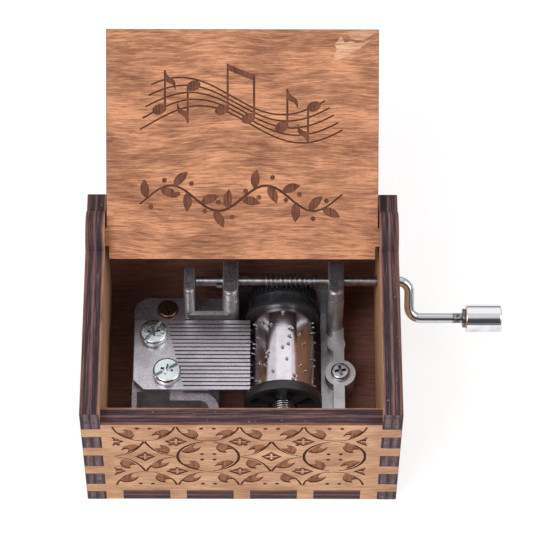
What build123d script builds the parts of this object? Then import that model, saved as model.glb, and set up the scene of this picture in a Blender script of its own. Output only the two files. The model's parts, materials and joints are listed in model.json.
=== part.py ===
from build123d import *
import os
from math import asin, cos, pi, radians, sin, sqrt

# Hand-cranked music box: a pinned-drum movement in a finger-jointed plywood box with a pivoting lid.
# Millimetres. X to the right, Y to the back, Z up. The origin is the centre of the box's underside.

# ---------------------------------------------------------------- plywood box
box_width = 64.0
box_depth = 52.0
ply = 3.9
front_height = 32.0
side_lip = 0.2                 # side plates above the closed lid

corner_tab_height = 3.4        # tabs of the front and back plates, in the side plates' edges
corner_tab_pitch = 7.8
corner_tab_first = 5.1         # height of the lowest tab's middle
corner_tab_count = 4
floor_tab_width = 9.5          # tabs of the bottom plate, seen in all four walls
floor_tab_pitch = 13.1
front_floor_tab_count = 4
side_floor_tab_count = 3

inner_x = box_width / 2 - ply
inner_y = box_depth / 2 - ply
floor_z = ply
side_height = front_height + ply + side_lip

# ---------------------------------------------------------------- lid and its pivot
lid_thickness = ply
lid_open_angle = 144.0         # from closed to leaning on the back plate
lid_front_gap = 0.5            # closed lid's front edge behind the front face
lid_tail = 4.55                # pivot to the rear edge
lid_side_gap = 0.25
lid_rest_gap = 0.05            # closed lid above the front plate
lid_stop_gap = 0.08            # open lid to the back plate's inner top edge
lid_tail_gap = 0.15            # turning tail to the back plate
lid_tail_notch = 0.5
pivot_tab = ply                # the lid's square pivot tab
pivot_hole_gap = 0.09          # between the tab's corners and the hole
lid_tail_sweep = sqrt(lid_tail ** 2 + (lid_thickness / 2) ** 2)
pivot_y = inner_y - lid_tail_gap - lid_tail_sweep
pivot_z = front_height + lid_rest_gap + lid_thickness / 2
lid_reach = box_depth / 2 + pivot_y - lid_front_gap
ear_wall = 2.45                # wood left around the pivot hole
pivot_hole_r = pivot_tab / sqrt(2) + pivot_hole_gap
ear_r = pivot_hole_r + ear_wall

lean = radians(180.0 - lid_open_angle)
back_height = pivot_z + ((inner_y - pivot_y) * sin(lean)
                         - (lid_thickness / 2 + lid_stop_gap)) / cos(lean)

# ---------------------------------------------------------------- drum and its arbor
drum_x = 8.45
axis_above_floor = 9.6
drum_z = floor_z + axis_above_floor
shell_r = 6.45
shell_wall = 0.7
drum_rear = 8.48
drum_length = 18.13
drum_front = drum_rear - drum_length
pin_height = 0.5
pin_r = 0.22
pin_root = 0.35                # depth of a pin's foot in the shell
track_count = 18
track_turn = 137.5             # degrees from one track's first pin to the next track's
track_turn_sway = 23.0
track_turn_rate = 2.3          # how fast that sway runs through the tracks
# Degrees from a track's first pin to its others, each with its sway, and the sway's rate and start.
pin_steps = ((71.0, 17.0, 1.7, 0.0), (166.0, 24.0, 2.9, pi / 2), (262.0, 21.0, 0.9, 0.0))
pin_circle_r = shell_r + pin_height

arbor_r = 1.0
arbor_gap = 0.05
cap_r = 8.1
cap_length = 2.05
cap_wall = 1.2
cap_recess_depth = 1.5
cap_hub_r = 2.95
cap_rib_width = 1.5
cap_rib_pair_count = 4         # ribs that run right across, two in a line
plug_length = 1.6              # how far each end piece reaches into the shell
plug_gap = 0.02

flange_r = 7.8
flange_length = 1.4
gear_body_length = 2.48
gear_body_r = 6.5

worm_pitch = 1.0
gear_tooth_count = 44
gear_width = 3.0
tooth_addendum = 0.18
tooth_depth = 0.55
tooth_tip_width = 0.24
tooth_root_width = 0.46
gear_pitch_r = gear_tooth_count * worm_pitch / (2 * pi)
gear_tip_r = gear_pitch_r + tooth_addendum
gear_root_r = gear_tip_r - tooth_depth
gear_front = drum_rear + flange_length + gear_body_length
gear_rear = gear_front + gear_width

# ---------------------------------------------------------------- worm and crank
worm_root_r = 0.95
worm_crest_r = 1.5
worm_tip_width = 0.22
worm_base_width = 0.52
worm_foot = 0.15               # depth of the thread's foot in the rod
worm_foot_flare = 0.05         # each side of the foot is this much wider than the thread's base
left_worm_turn_count = 4       # whole turns on each side of the drum's axis
right_worm_turn_count = 7
neck_relief = 0.3
mesh_gap = 0.12                # tooth tips to worm root, and worm crest to tooth roots
shaft_y = (gear_front + gear_rear) / 2
shaft_z = drum_z + gear_tip_r + worm_root_r + mesh_gap

rod_r = 1.05
rod_gap = 0.06
crank_throw = 8.0
crank_angle = 47.0             # how far the arm points below the horizontal, to the front
crank_bend_r = 2.4
arm_stand_off = 2.9            # side plate's outer face to the arm's centre line
arm_x = box_width / 2 + arm_stand_off
shaft_ear_length = 1.08        # the rod is pinched flat into ears in two places
handle_ear_length = 1.75
ear_span = 2.8
ear_thickness = 1.2
shaft_ear_turn = 0.0           # degrees from level
handle_ear_turn = 100.0
end_gap = 0.2                  # end play of the shaft at its stops
shaft_hole_gap = 0.95          # rod to the hole in the side plate

bend_to_ears = 6.85            # end of the handle's bend to the pinched ears
knob_r = 2.95
knob_length = 8.2
knob_bore_r = 1.6
knob_end_wall = 1.2
knob_edge_r = 0.4
bush_length = 2.4
bush_flange = 0.6
bush_flange_r = 2.0
handle_gap = 0.06
knob_end_gap = 0.5             # end of the rod to the knob's end wall
ears_to_knob = 0.12
handle_ears_x = arm_x + crank_bend_r + bend_to_ears
knob_start_x = handle_ears_x + handle_ear_length + ears_to_knob
knob_end_x = knob_start_x + knob_length
handle_end_x = knob_end_x - knob_end_wall - knob_end_gap
handle_y = shaft_y - crank_throw * cos(radians(crank_angle))
handle_z = shaft_z - crank_throw * sin(radians(crank_angle))

# ---------------------------------------------------------------- comb
comb_thickness = 1.2
tine_thickness = 0.6
comb_above_axis = 2.5
comb_end_gap = 0.77            # comb's ends to the drum's end pieces
root_rear_length = 17.5        # tine lengths
root_front_length = 13.6
comb_body = 6.6                # left edge to the rear tine's root
comb_corner = 2.2
slot_width = 0.27
tip_gap = 0.1
comb_top = drum_z + comb_above_axis
comb_bottom = comb_top - comb_thickness
tine_bottom = comb_top - tine_thickness
comb_rear = drum_rear - comb_end_gap
comb_front = drum_front + comb_end_gap
tine_pitch = (comb_rear - comb_front) / track_count
tip_x = drum_x - sqrt(pin_circle_r ** 2 - (tine_bottom - drum_z) ** 2) - tip_gap
root_rear_x = tip_x - root_rear_length
root_front_x = tip_x - root_front_length
comb_left = root_rear_x - comb_body
comb_screw_inset = 3.7          # from the comb's rear and front edges
rear_comb_screw_reach = 4.0    # from the comb's left edge
front_comb_screw_reach = 6.9
comb_screw_places = [(comb_left + rear_comb_screw_reach, comb_rear - comb_screw_inset),
                     (comb_left + front_comb_screw_reach, comb_front + comb_screw_inset)]
comb_screw_turns = [52.0, 31.0]
comb_screw_head_r = 2.9
comb_screw_head_height = 1.85
comb_screw_edge_r = 0.5
comb_screw_r = 1.2
comb_screw_length = 6.0
comb_hole_gap = 0.25
slot_cut_width = 0.8
slot_cut_depth = 0.7
comb_recess_span = 2.6
comb_recess_depth = 1.0
comb_recess_turn = 45.0        # the cross recess to the slot, degrees
weight_count = 10
weight_length = 3.6
weight_step = 0.22             # each weight is this much shorter than the one before
weight_depth = 1.7
weight_inset = 0.9
damper_count = 8
damper_below_tine = 0.2
damper_drop = 1.3
damper_wire = 0.24
damper_inset = 0.35

# ---------------------------------------------------------------- wood screws
wood_screw_r = 1.1
wood_screw_bite = 2.9          # depth of the screws' tips in the bottom plate
screw_tip_r = 0.2
screw_point_length = 2.2
bronze_head_r = 2.15
bronze_head_height = 0.9
bronze_turn = 20.0
zinc_head_r = 2.0
zinc_head_height = 1.1
zinc_turn = 10.0
head_round = 0.45              # share of a head's height that is rounded off
recess_width = 0.55
recess_span = 2.4
recess_depth = 0.6
fit = 0.03                     # between a fixed shank and its hole

# ---------------------------------------------------------------- cast bedplate
bed_thickness = 2.0
bed_left_margin = 0.3          # past the comb's left edge
bed_front_reach = 9.65         # from the drum's front end
bed_rear_margin = 2.64         # past the gear
bed_left = comb_left - bed_left_margin
bed_front = drum_front - bed_front_reach
bed_rear = gear_rear + bed_rear_margin

window_left_reach = 13.25      # opening under the drum, from its axis
window_cap_gap = 0.05
window_front_reach = 4.35      # from the drum's front end
window_left = drum_x - window_left_reach
window_right = drum_x + cap_r + window_cap_gap
window_front = drum_front - window_front_reach

bearing_lug_width = 3.2
left_lug_reach = 12.5          # from the drum's axis to each bearing lug's left side
right_lug_reach = 9.45
lug_front_gap = 0.32           # from the shell's rear end
lug_above_shaft = 2.75
lug_step_below_shaft = 0.35    # the lugs are a little thicker up to a step below the shaft
lug_step = 0.12
lug_edge_r = 0.7
lug_front = drum_rear + lug_front_gap
lug_top = shaft_z + lug_above_shaft
lug_step_z = shaft_z - lug_step_below_shaft
left_lug = (drum_x - left_lug_reach, drum_x - left_lug_reach + bearing_lug_width)
right_lug = (drum_x + right_lug_reach, drum_x + right_lug_reach + bearing_lug_width)

platform_left_margin = 0.2     # past the comb's left edge
platform_behind_lugs = 5.0     # from the lugs' front to its rear
platform_corner_r = 3.3
platform_front_inset = 0.07
platform_skin = 2.2
platform_wall = 1.6
platform_left = comb_left - platform_left_margin
platform_right = root_front_x
platform_rear = lug_front + platform_behind_lugs
platform_front = comb_front + platform_front_inset

stop_lug_width = 2.25
stop_lug_overlap = 0.2         # of the platform's right edge
stop_lug_behind_shaft = 1.74
stop_lug_above_shaft = 3.65
stop_lug_left = platform_right - stop_lug_overlap
stop_lug_right = stop_lug_left + stop_lug_width
stop_lug_rear = shaft_y + stop_lug_behind_shaft
stop_lug_top = shaft_z + stop_lug_above_shaft

rear_wall_gap = 0.24
rear_wall_thickness = 1.6
rear_wall = (gear_rear + rear_wall_gap, gear_rear + rear_wall_gap + rear_wall_thickness)
bar_width = 1.0
bar_before_lugs = 0.1
bar_height = 1.7               # above the comb's seat
bar = (lug_front - bar_before_lugs, lug_front - bar_before_lugs + bar_width)
bar_top = comb_bottom + bar_height

ledge_height = 3.2
rib_height = 5.8
rib_gap = 2.5                  # from the window's right side
rib_width = 2.3
rib_behind_lugs = 1.0          # from the lugs' front to its rear
bump_r = 1.9
bump_inset = 0.7               # bump's axis to the rib's left side
bump_y = 5.7
boss_r = 3.2
boss_inset = 0.85              # boss's axis to the rib's right side
boss_y = -1.3
ledge_top = floor_z + ledge_height
rib_top = floor_z + rib_height
rib = (window_right + rib_gap, window_right + rib_gap + rib_width)
bed_right = rib[1]
rib_rear = lug_front + rib_behind_lugs
bump_place = (rib[0] + bump_inset, bump_y)
boss_place = (rib[1] - boss_inset, boss_y)

bronze_screw_inset = 6.75      # from the comb's left edge
bronze_screw_gap = 3.1         # behind the comb
bronze_place = (comb_left + bronze_screw_inset, comb_rear + bronze_screw_gap)
screw_hole_extra = 0.5

bearing_half_width = 2.6
bearing_length = 2.2
front_bearing_reach = 6.75     # from the drum's front end to the front bearing
front_bearing_rear = drum_front - front_bearing_reach
front_bearing = (front_bearing_rear - bearing_length, front_bearing_rear)

hook_r = 4.0
hook_width = 2.0
hook_overlap = 3.0             # of the platform's right edge
hook_start = platform_right - hook_overlap
strip_margin = 0.1             # past the platform's left side
strip_width = 1.0
strip_behind_comb_front = 2.47
strip = (platform_left - strip_margin, platform_left - strip_margin + strip_width)
strip_rear = comb_front + strip_behind_comb_front

rod_start_x = stop_lug_right + end_gap
shaft_ears_x = left_lug[0] - end_gap - shaft_ear_length

# ---------------------------------------------------------------- spring, clip
spring_wire = 0.44
spring_mean_r = 2.3
spring_turn_count = 4
spring_bend_r = 0.5
spring_end_gap = 0.04
spring_samples_per_turn = 72   # points on which the gap between the turns is measured
clip_r = 1.9
clip_mouth = 1.2
clip_thickness = 0.4
clip_gap = 0.12
clip_groove = 0.25
arbor_front_overhang = 0.65
arbor_rear_overhang = 0.5


# ---------------------------------------------------------------- helpers
def block(x0, x1, y0, y1, z0, z1):
    return Pos((x0 + x1) / 2, (y0 + y1) / 2, (z0 + z1) / 2) * Box(x1 - x0, y1 - y0, z1 - z0)


def post(x, y, z0, z1, r):
    return Pos(x, y, (z0 + z1) / 2) * Cylinder(r, z1 - z0)


def along_x(y, z, x0, x1, r):
    return Pos((x0 + x1) / 2, y, z) * Rot(0, 90, 0) * Cylinder(r, x1 - x0)


def along_y(x, z, y0, y1, r):
    return Pos(x, (y0 + y1) / 2, z) * Rot(90, 0, 0) * Cylinder(r, y1 - y0)


def spread(count, pitch):
    return [(i - (count - 1) / 2) * pitch for i in range(count)]


def corner_tabs():
    middles = [corner_tab_first + i * corner_tab_pitch for i in range(corner_tab_count)]
    return [(m - corner_tab_height / 2, m + corner_tab_height / 2) for m in middles]


def cross_recess(x, y, top, turn, depth=recess_depth, span=recess_span):
    arms = Box(span, recess_width, depth) + Box(recess_width, span, depth)
    return Pos(x, y, top - depth / 2) * Rot(0, 0, turn) * arms


# ---------------------------------------------------------------- box plates
def floor_tab_ranges(count):
    return [(m - floor_tab_width / 2, m + floor_tab_width / 2) for m in spread(count, floor_tab_pitch)]


def make_bottom():
    plate = block(-inner_x, inner_x, -inner_y, inner_y, 0, ply)
    for a, b in floor_tab_ranges(front_floor_tab_count):
        plate += block(a, b, -box_depth / 2, box_depth / 2, 0, ply)
    for a, b in floor_tab_ranges(side_floor_tab_count):
        plate += block(-box_width / 2, box_width / 2, a, b, 0, ply)
    plate -= post(*boss_place, floor_z - wood_screw_bite, floor_z, wood_screw_r + fit)
    plate -= post(*bronze_place, floor_z - wood_screw_bite, floor_z, wood_screw_r + fit)
    return plate


def make_end_plate(sign, height):
    outer = sign * box_depth / 2
    inner = sign * inner_y
    y0, y1 = min(outer, inner), max(outer, inner)
    plate = block(-inner_x, inner_x, y0, y1, 0, height)
    for z0, z1 in corner_tabs():
        plate += block(-box_width / 2, box_width / 2, y0, y1, z0, z1)
    for a, b in floor_tab_ranges(front_floor_tab_count):
        plate -= block(a, b, y0, y1, 0, ply)
    return plate


def make_side(sign):
    outer = sign * box_width / 2
    inner = sign * inner_x
    x0, x1 = min(outer, inner), max(outer, inner)
    plate = block(x0, x1, -box_depth / 2, box_depth / 2, 0, side_height)
    plate += along_x(pivot_y, pivot_z, x0, x1, ear_r)
    for z0, z1 in corner_tabs():
        plate -= block(x0, x1, -box_depth / 2, -inner_y, z0, z1)
        plate -= block(x0, x1, inner_y, box_depth / 2, z0, z1)
    for a, b in floor_tab_ranges(side_floor_tab_count):
        plate -= block(x0, x1, a, b, 0, ply)
    plate -= along_x(pivot_y, pivot_z, x0, x1, pivot_hole_r)
    if sign > 0:
        plate -= along_x(shaft_y, shaft_z, x0, x1, rod_r + shaft_hole_gap)
    return plate


def make_lid():
    half = inner_x - lid_side_gap
    z0 = pivot_z - lid_thickness / 2
    z1 = pivot_z + lid_thickness / 2
    panel = block(-half, half, pivot_y - lid_reach, pivot_y + lid_tail, z0, z1)
    tab = pivot_tab / 2
    for side in (-1, 1):
        edge = side * half
        cut = side * (half - lid_tail_notch)
        panel -= block(min(edge, cut), max(edge, cut), pivot_y + tab, pivot_y + lid_tail, z0, z1)
    panel += block(-box_width / 2, box_width / 2, pivot_y - tab, pivot_y + tab, z0, z1)
    return panel.rotate(Axis((0, pivot_y, pivot_z), (1, 0, 0)), -lid_open_angle)


# ---------------------------------------------------------------- bedplate
def lug(x0, x1, rear, top):
    r = (x1 - x0) / 2
    middle = (x0 + x1) / 2
    body = block(x0, x1, lug_front + r, rear, floor_z, top)
    body += post(middle, lug_front + r, floor_z, top, r)
    return body


def bearing_lug(x0, x1):
    r = (x1 - x0) / 2
    middle = (x0 + x1) / 2
    body = lug(x0, x1, rear_wall[1], lug_top)
    body = fillet(body.faces().sort_by(Axis.Z)[-1].edges(), lug_edge_r)
    return body + post(middle, lug_front + r, floor_z, lug_step_z, r + lug_step)


def stop_lug():
    r = (stop_lug_right - stop_lug_left) / 2
    middle = (stop_lug_left + stop_lug_right) / 2
    body = lug(stop_lug_left, stop_lug_right, stop_lug_rear - r, stop_lug_top)
    body += post(middle, stop_lug_rear - r, floor_z, stop_lug_top, r)
    return fillet(body.faces().sort_by(Axis.Z)[-1].edges(), lug_edge_r)


def platform():
    top = comb_bottom
    body = block(platform_left, platform_right, platform_front, platform_rear, floor_z, top)
    body += block(platform_right, left_lug[0], lug_front, platform_rear, floor_z, top)
    corner = body.edges().filter_by(Axis.Z).sort_by(lambda e: e.center().X - e.center().Y)[0]
    body = fillet(corner, platform_corner_r)
    w = platform_wall
    body -= block(platform_left + w, platform_right - w, platform_front + w, platform_rear - w,
                     floor_z, top - platform_skin)
    for x, y in comb_screw_places:
        body += post(x, y, floor_z, top, comb_screw_r + w)
    body += post(*bronze_place, floor_z, top, wood_screw_r + w)
    return body


def pocket_walls():
    bend_x = window_left - hook_r
    bend_y = platform_front - hook_r
    heights = (floor_z, comb_bottom)
    wall = block(*strip, bed_front, strip_rear, *heights)
    wall += block(hook_start, bend_x, platform_front - hook_width, platform_front, *heights)
    ring = post(bend_x, bend_y, *heights, hook_r) - post(bend_x, bend_y, *heights, hook_r - hook_width)
    wall += ring & block(bend_x, window_left, bend_y, platform_front, *heights)
    wall += block(window_left - hook_width, window_left, bed_front, bend_y, *heights)
    return wall


def make_bedplate():
    bed_top = floor_z + bed_thickness
    bed = block(bed_left, bed_right, bed_front, bed_rear, floor_z, bed_top)
    bed -= block(window_left, window_right, window_front, rear_wall[0], floor_z, bed_top)
    bed += platform()
    bed += pocket_walls()
    bed += block(window_right, rib[0], bed_front, rib_rear, floor_z, ledge_top)
    bed += block(*rib, bed_front, rib_rear, floor_z, rib_top)
    bed += post(*boss_place, floor_z, rib_top, boss_r)
    bed += post(*bump_place, floor_z, rib_top, bump_r)
    bed += block(left_lug[0], right_lug[1], *rear_wall, floor_z, comb_bottom)
    bed += along_y(drum_x, drum_z, *rear_wall, bearing_half_width)
    bed += block(stop_lug_left + bar_width, left_lug[0] + bar_width, *bar, floor_z, bar_top)
    bed += stop_lug()
    bed += bearing_lug(*left_lug)
    bed += bearing_lug(*right_lug)
    bed += block(drum_x - bearing_half_width, drum_x + bearing_half_width, *front_bearing,
                 floor_z, drum_z)
    bed += along_y(drum_x, drum_z, *front_bearing, bearing_half_width)
    bed -= along_y(drum_x, drum_z, front_bearing[0], front_bearing[1], arbor_r + arbor_gap)
    bed -= along_y(drum_x, drum_z, *rear_wall, arbor_r + arbor_gap)
    bed -= along_x(shaft_y, shaft_z, left_lug[0], right_lug[1], rod_r + rod_gap)
    for x, y in comb_screw_places:
        hole_bottom = comb_top - comb_screw_length - screw_hole_extra
        bed -= post(x, y, hole_bottom, comb_bottom, comb_screw_r + fit)
    bed -= post(*bronze_place, floor_z, comb_bottom, wood_screw_r + fit)
    bed -= post(*boss_place, floor_z, rib_top, wood_screw_r + fit)
    return bed


# ---------------------------------------------------------------- comb
def root_x(y):
    share = (comb_rear - y) / (comb_rear - comb_front)
    return root_rear_x + share * (root_front_x - root_rear_x)


def tine_y(i):
    return comb_rear - (i + 0.5) * tine_pitch


def make_comb():
    outline = Polyline((comb_left, comb_rear), (tip_x, comb_rear), (tip_x, comb_front),
                       (comb_left + comb_corner, comb_front), (comb_left, comb_front + comb_corner),
                       close=True)
    top = extrude(Pos(0, 0, tine_bottom) * make_face(outline), amount=tine_thickness)
    base = Polyline((comb_left, comb_rear), (root_rear_x, comb_rear), (root_front_x, comb_front),
                    (comb_left + comb_corner, comb_front), (comb_left, comb_front + comb_corner),
                    close=True)
    comb = top + extrude(Pos(0, 0, comb_bottom) * make_face(base), amount=comb_thickness)
    for i in range(1, track_count):
        y = comb_rear - i * tine_pitch
        comb -= block(root_x(y), tip_x, y - slot_width / 2, y + slot_width / 2, comb_bottom, comb_top)
    for x, y in comb_screw_places:
        comb -= post(x, y, comb_bottom, comb_top, comb_screw_r + comb_hole_gap)
    return comb


def make_comb_screws():
    screws = []
    for (x, y), turn in zip(comb_screw_places, comb_screw_turns):
        head_top = comb_top + comb_screw_head_height
        head = post(x, y, comb_top, head_top, comb_screw_head_r)
        head = fillet(head.faces().sort_by(Axis.Z)[-1].edges(), comb_screw_edge_r)
        shank = post(x, y, comb_top - comb_screw_length, comb_top, comb_screw_r)
        slot = Pos(x, y, head_top - slot_cut_depth / 2) * Rot(0, 0, turn)
        screw = head + shank - slot * Box(3 * comb_screw_head_r, slot_cut_width, slot_cut_depth)
        screw -= cross_recess(x, y, head_top, turn + comb_recess_turn, comb_recess_depth, comb_recess_span)
        screws.append(screw)
    return screws


def make_comb_weights():
    right = tip_x - weight_inset
    weights = []
    for i in range(weight_count):
        y = tine_y(i)
        half = (tine_pitch - slot_width) / 2
        length = weight_length - i * weight_step
        weights.append(block(right - length, right, y - half, y + half,
                             tine_bottom - weight_depth, tine_bottom))
    return weights


def make_comb_dampers():
    # Thin bent wires held by the weights, which quiet a tine before its next pin comes round.
    dampers = []
    weight_end = tip_x - weight_inset
    reach = tip_x - damper_inset
    top = tine_bottom - damper_below_tine
    for i in range(damper_count):
        sides = (tine_y(i) - damper_wire / 2, tine_y(i) + damper_wire / 2)
        arm = block(weight_end, reach, *sides, top - damper_wire, top)
        dampers.append(arm + block(reach - damper_wire, reach, *sides, top - damper_drop, top))
    return dampers


# ---------------------------------------------------------------- wood screw makers
def wood_screw(x, y, seat, head_r, head_height, turn):
    head = post(x, y, seat, seat + head_height, head_r)
    head = fillet(head.faces().sort_by(Axis.Z)[-1].edges(), head_height * head_round)
    tip = floor_z - wood_screw_bite
    shank = post(x, y, tip + screw_point_length, seat, wood_screw_r)
    point = Pos(x, y, tip + screw_point_length / 2) * Cone(screw_tip_r, wood_screw_r, screw_point_length)
    return head + shank + point - cross_recess(x, y, seat + head_height, turn)


# ---------------------------------------------------------------- drum
def make_shell():
    shell = along_y(drum_x, drum_z, drum_front, drum_rear, shell_r)
    return shell - along_y(drum_x, drum_z, drum_front, drum_rear, shell_r - shell_wall)


def pin_angles():
    # An irregular but repeatable tune: each track gets its own spacing of pins.
    tracks = []
    for i in range(track_count):
        first = i * track_turn + track_turn_sway * sin(i * track_turn_rate)
        others = [first + step + sway * sin(i * rate + phase) for step, sway, rate, phase in pin_steps]
        tracks.append([first, *others])
    return tracks


def make_pins():
    pins = []
    for i, angles in enumerate(pin_angles()):
        for angle in angles:
            place = Pos(drum_x, tine_y(i), drum_z) * Rot(0, angle, 0)
            foot = shell_r - pin_root
            pins.append(place * Pos(0, 0, (foot + pin_circle_r) / 2)
                        * Cylinder(pin_r, pin_circle_r - foot))
    return pins


def make_end_cap():
    front = drum_front - cap_length
    cap = along_y(drum_x, drum_z, front, drum_front, cap_r)
    cap += along_y(drum_x, drum_z, drum_front, drum_front + plug_length,
                   shell_r - shell_wall - plug_gap)
    recess = along_y(drum_x, drum_z, front, front + cap_recess_depth, cap_r - cap_wall)
    recess -= along_y(drum_x, drum_z, front, front + cap_recess_depth, cap_hub_r)
    for i in range(cap_rib_pair_count):
        rib_pair = Rot(0, i * 180 / cap_rib_pair_count, 0) * Box(cap_rib_width, cap_recess_depth, 2 * cap_r)
        recess -= Pos(drum_x, front + cap_recess_depth / 2, drum_z) * rib_pair
    cap -= recess
    cap -= along_y(drum_x, drum_z, front, front + cap_recess_depth / 2, cap_hub_r)
    return cap - along_y(drum_x, drum_z, front, drum_front + plug_length, arbor_r)


def tooth_profile():
    points = []
    for i in range(gear_tooth_count):
        middle = (i + 0.5) * 2 * pi / gear_tooth_count
        half_root = asin(tooth_root_width / 2 / gear_root_r)
        half_tip = asin(tooth_tip_width / 2 / gear_tip_r)
        for r, a in ((gear_root_r, -half_root), (gear_tip_r, -half_tip),
                     (gear_tip_r, half_tip), (gear_root_r, half_root)):
            points.append((r * sin(middle + a), r * cos(middle + a)))
    return points


def make_gear():
    face = make_face(Polyline(*tooth_profile(), close=True))
    teeth = extrude(Plane((drum_x, gear_rear, drum_z), x_dir=(1, 0, 0), z_dir=(0, -1, 0)) * face,
                    amount=gear_width)
    gear = teeth + along_y(drum_x, drum_z, drum_rear, drum_rear + flange_length, flange_r)
    gear += along_y(drum_x, drum_z, drum_rear + flange_length, gear_front, gear_body_r)
    gear += along_y(drum_x, drum_z, drum_rear - plug_length, drum_rear,
                    shell_r - shell_wall - plug_gap)
    return gear - along_y(drum_x, drum_z, drum_rear - plug_length, gear_rear, arbor_r)


def make_arbor():
    front = front_bearing[0] - arbor_front_overhang
    arbor = along_y(drum_x, drum_z, front, rear_wall[1] + arbor_rear_overhang, arbor_r)
    groove = along_y(drum_x, drum_z, *clip_range(), arbor_r)
    groove -= along_y(drum_x, drum_z, *clip_range(), arbor_r - clip_groove)
    return arbor - groove


def clip_range():
    rear = front_bearing[0] - clip_gap
    return rear - clip_thickness, rear


def make_clip():
    y0, y1 = clip_range()
    clip = along_y(drum_x, drum_z, y0, y1, clip_r)
    clip -= along_y(drum_x, drum_z, y0, y1, arbor_r - clip_groove)
    mouth = block(drum_x - clip_mouth / 2, drum_x + clip_mouth / 2, y0, y1, drum_z - 2 * clip_r, drum_z)
    return clip - mouth


# ---------------------------------------------------------------- spring
def biarc(p0, t0, p1, t1):
    v = p1 - p0
    s = t0 + t1
    a = 2 * (1 - t0.dot(t1))
    b = 2 * v.dot(s)
    c = -v.dot(v)
    d = -c / b if abs(a) < 1e-9 else (-b + sqrt(b * b - 4 * a * c)) / (2 * a)
    q0 = p0 + t0 * d
    q1 = p1 - t1 * d
    joint = (q0 + q1) * 0.5
    along = (q1 - q0).normalized()
    return [TangentArc(p0, joint, tangent=t0), TangentArc(joint, p1, tangent=along)]


def spring_path():
    y_rear = drum_front - cap_length + cap_recess_depth / 2 - spring_end_gap
    y_front = front_bearing[1] + spring_end_gap
    lead = spring_bend_r + spring_wire
    y0 = y_rear - lead
    y1 = y_front + lead
    pitch = (y0 - y1) / spring_turn_count

    def point(turn):
        a = 2 * pi * turn
        return Vector(drum_x + spring_mean_r * cos(a), y0 - pitch * turn, drum_z + spring_mean_r * sin(a))

    def tangent(turn):
        a = 2 * pi * turn
        return Vector(-2 * pi * spring_mean_r * sin(a), -pitch, 2 * pi * spring_mean_r * cos(a)).normalized()

    forward = Vector(0, -1, 0)
    first, last = point(0), point(spring_turn_count)
    enter = first - (tangent(0) + forward) * spring_bend_r
    leave = last + (tangent(spring_turn_count) + forward) * spring_bend_r
    edges = [Line(Vector(enter.X, y_rear, enter.Z), enter)]
    edges += biarc(enter, forward, first, tangent(0))
    for i in range(4 * spring_turn_count):
        edges += biarc(point(i / 4), tangent(i / 4), point((i + 1) / 4), tangent((i + 1) / 4))
    edges += biarc(last, tangent(spring_turn_count), leave, forward)
    edges.append(Line(leave, Vector(leave.X, y_front, leave.Z)))
    return Wire(edges)


def least_gap(path):
    """The least gap of the spring's wire to itself, measured between points at least half a turn apart."""
    count = spring_samples_per_turn * spring_turn_count
    points = [path @ (i / count) for i in range(count + 1)]
    apart = spring_samples_per_turn // 2
    gaps = [(points[i] - points[j]).length for i in range(count + 1) for j in range(i + apart, count + 1)]
    return min(gaps) - spring_wire


def make_spring():
    path = spring_path()
    print("spring: least gap between its turns", round(least_gap(path), 3), "mm")
    start = Plane(origin=path @ 0, z_dir=path % 0)
    return sweep(start * Circle(spring_wire / 2), path=path)


# ---------------------------------------------------------------- crank
def pinched_ears(x, y, z, length, turn):
    return Pos(x + length / 2, y, z) * Rot(turn, 0, 0) * Box(length, ear_span, ear_thickness)


def worm_thread():
    turns = left_worm_turn_count + right_worm_turn_count
    length = turns * worm_pitch
    inner = worm_root_r - worm_foot
    helix = Helix(worm_pitch, length, inner)
    half_base = worm_base_width / 2 + worm_foot_flare
    half_tip = worm_tip_width / 2
    profile = Polyline((inner, -half_base), (worm_crest_r, -half_tip), (worm_crest_r, half_tip),
                       (inner, half_base), close=True)
    section = Plane.XZ * make_face(profile)
    thread = sweep(section, path=helix, is_frenet=True)
    start = drum_x - left_worm_turn_count * worm_pitch
    return Pos(start, shaft_y, shaft_z) * Rot(0, 90, 0) * thread


def make_crank():
    path = FilletPolyline((rod_start_x, shaft_y, shaft_z), (arm_x, shaft_y, shaft_z),
                          (arm_x, handle_y, handle_z), (handle_end_x, handle_y, handle_z),
                          radius=crank_bend_r)
    start = Plane(origin=(rod_start_x, shaft_y, shaft_z), z_dir=(1, 0, 0))
    rod = sweep(start * Circle(rod_r), path=path)
    worm_start = drum_x - left_worm_turn_count * worm_pitch
    worm_end = drum_x + right_worm_turn_count * worm_pitch
    neck_ends = (worm_start - neck_relief, worm_end + neck_relief)
    neck = along_x(shaft_y, shaft_z, *neck_ends, 2 * rod_r)
    neck -= along_x(shaft_y, shaft_z, *neck_ends, worm_root_r)
    rod -= neck
    rod += pinched_ears(shaft_ears_x, shaft_y, shaft_z, shaft_ear_length, shaft_ear_turn)
    rod += pinched_ears(handle_ears_x, handle_y, handle_z, handle_ear_length, handle_ear_turn)
    return rod + worm_thread()


def make_knob():
    knob = along_x(handle_y, handle_z, knob_start_x + bush_flange, knob_end_x, knob_r)
    knob = fillet(knob.edges().filter_by(GeomType.CIRCLE), knob_edge_r)
    return knob - along_x(handle_y, handle_z, knob_start_x, knob_end_x - knob_end_wall, knob_bore_r)


def make_knob_bush():
    bush = along_x(handle_y, handle_z, knob_start_x, knob_start_x + bush_flange, bush_flange_r)
    bush += along_x(handle_y, handle_z, knob_start_x, knob_start_x + bush_length, knob_bore_r)
    return bush - along_x(handle_y, handle_z, knob_start_x, knob_start_x + bush_length,
                          rod_r + handle_gap)


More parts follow.
